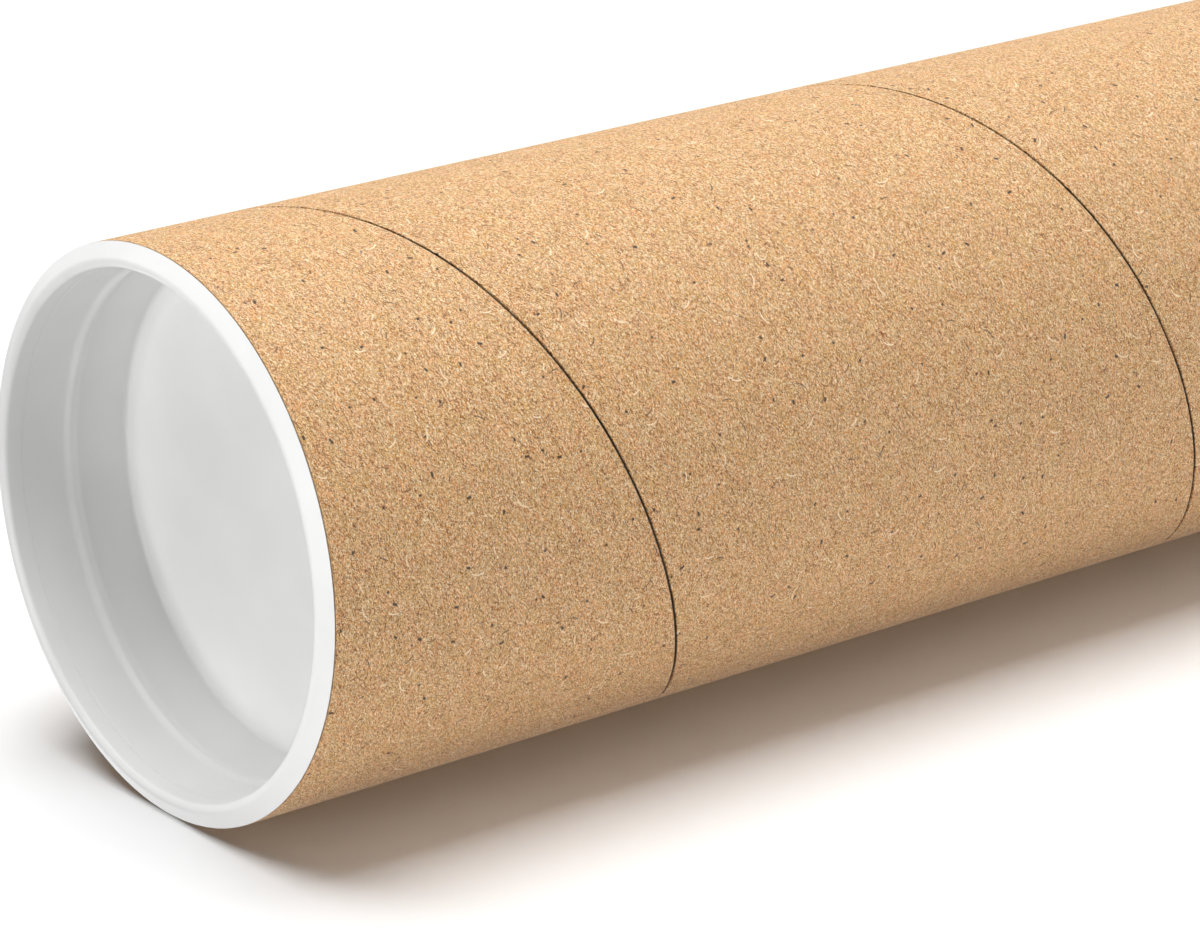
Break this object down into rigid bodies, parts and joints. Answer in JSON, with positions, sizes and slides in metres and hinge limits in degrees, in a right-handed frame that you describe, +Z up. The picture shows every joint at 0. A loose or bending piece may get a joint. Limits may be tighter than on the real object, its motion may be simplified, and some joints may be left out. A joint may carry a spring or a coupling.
{
  "type": "cardboard mailing tube",
  "caption": "Round spiral-wound cardboard tube with a push-in white plastic cap in each end, for posting and storing rolled paper.",
  "frame": {"origin": "centre of the bottom cap's rim, on the surface that the tube stands on", "axes": "+Z up the tube's axis, towards the top cap; +X and +Y across it, with the seam reaching the tube's top end 10.4 degrees from +X towards +Y"},
  "size_m": [0.0802, 0.0802, 0.46],
  "materials": {
    "brown_paper": "matte",
    "cap_plastic": "satin"
  },
  "bodies": {
    "bottom_cap": {"bottom_cap": "cap_plastic"},
    "tube": {"tube": "brown_paper"},
    "top_cap": {"top_cap": "cap_plastic"}
  },
  "joints": [
    {"name": "bottom_cap_pull", "type": "slide", "parent": "bottom_cap", "child": "tube", "axis": [0, 0, 1], "range_m": [0, 0.04]},
    {"name": "top_cap_pull", "type": "slide", "parent": "tube", "child": "top_cap", "axis": [0, 0, 1], "range_m": [0, 0.04]}
  ]
}
